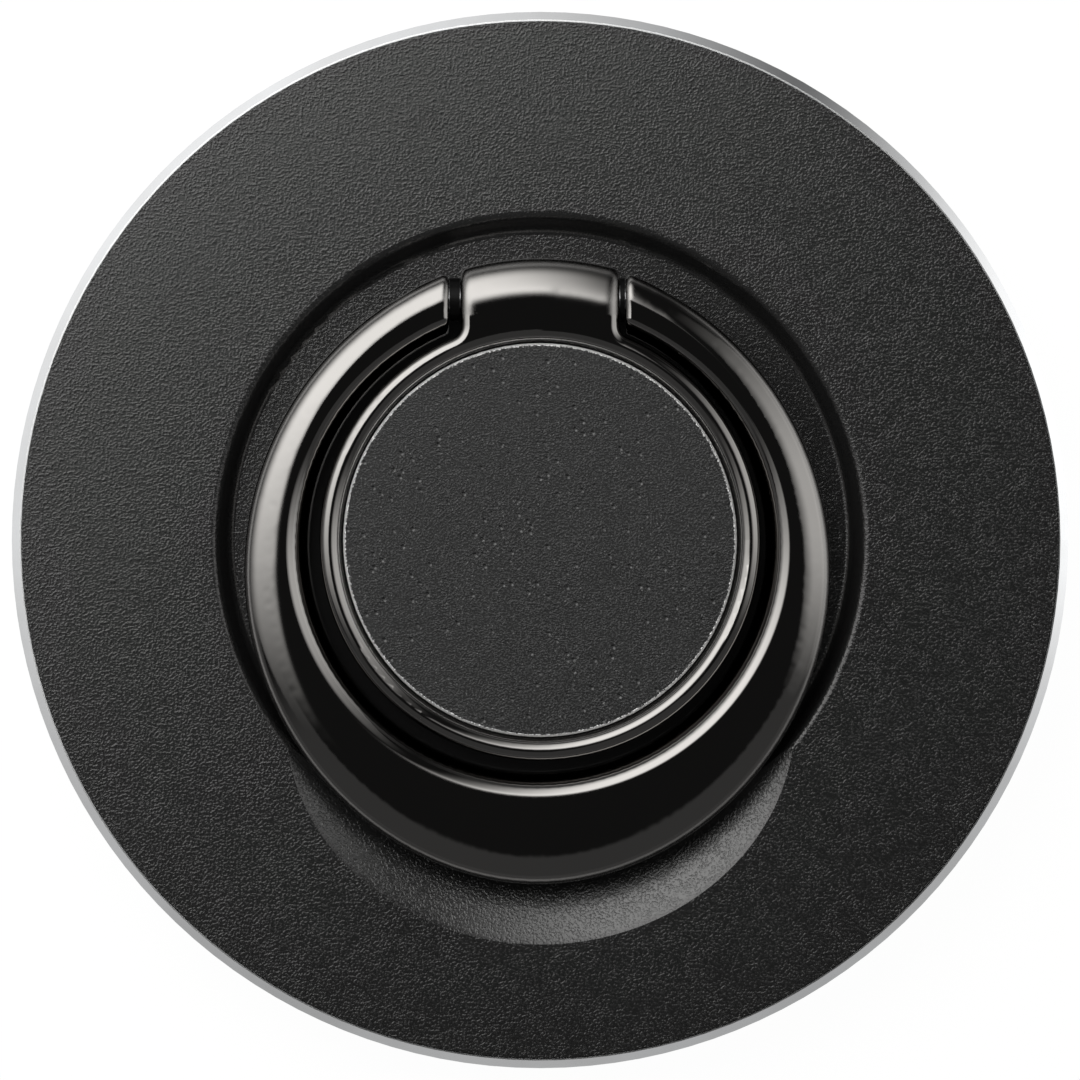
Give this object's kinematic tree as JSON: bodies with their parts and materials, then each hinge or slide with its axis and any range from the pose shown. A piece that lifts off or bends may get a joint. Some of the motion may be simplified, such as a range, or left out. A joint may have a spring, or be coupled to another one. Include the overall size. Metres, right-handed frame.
{
  "type": "magnetic phone ring holder",
  "caption": "Round magnetic plate for the back of a phone, with a glossy finger ring that folds flat into a well on a swivelling hub.",
  "frame": {"origin": "centre of the soft pad's face, where it touches the phone", "axes": "+Z out of the plate, away from the phone; +Y towards the hinge; -Y towards the tip of the folded ring"},
  "size_m": [0.058, 0.058, 0.0063],
  "materials": {
    "bright_rim": "bright cut edge",
    "grained_black": "fine moulded grain",
    "cover_black": "plain moulded",
    "soft_pad": "matt silicone",
    "gloss_black": "polished black coating",
    "cap_grain": "fine blasted black with a bright cut edge",
    "adhesive": "bonding sheet",
    "magnet_nickel": "nickel plated",
    "steel": "plain spring steel"
  },
  "bodies": {
    "base": {"bezel_ring": "bright_rim", "face_plate": "grained_black", "back_cover": "cover_black", "grip_pad": "soft_pad", "shunt_ring": "steel", "bow_washer": "steel", "magnet_01": "magnet_nickel", "magnet_02": "magnet_nickel", "magnet_03": "magnet_nickel", "magnet_04": "magnet_nickel", "magnet_05": "magnet_nickel", "magnet_06": "magnet_nickel", "magnet_07": "magnet_nickel", "magnet_08": "magnet_nickel", "magnet_09": "magnet_nickel", "magnet_10": "magnet_nickel", "magnet_11": "magnet_nickel", "magnet_12": "magnet_nickel", "magnet_13": "magnet_nickel", "magnet_14": "magnet_nickel", "magnet_15": "magnet_nickel", "magnet_16": "magnet_nickel"},
    "hub": {"hub": "gloss_black", "retainer_plate": "steel", "retainer_screws": "steel", "cap_adhesive": "adhesive", "centre_cap": "cap_grain", "hinge_washer_left": "cover_black", "hinge_washer_right": "cover_black"},
    "ring": {"finger_ring": "gloss_black", "hinge_pin": "steel"}
  },
  "joints": [
    {"name": "hub_swivel", "type": "hinge", "parent": "base", "child": "hub", "pos_m": [0, 0, 0.0032], "axis": [0, 0, 1], "continuous": true},
    {"name": "ring_flip", "type": "hinge", "parent": "hub", "child": "ring", "pos_m": [0, 0.0132, 0.00485], "axis": [-1, 0, 0], "range_deg": [0, 145]}
  ]
}
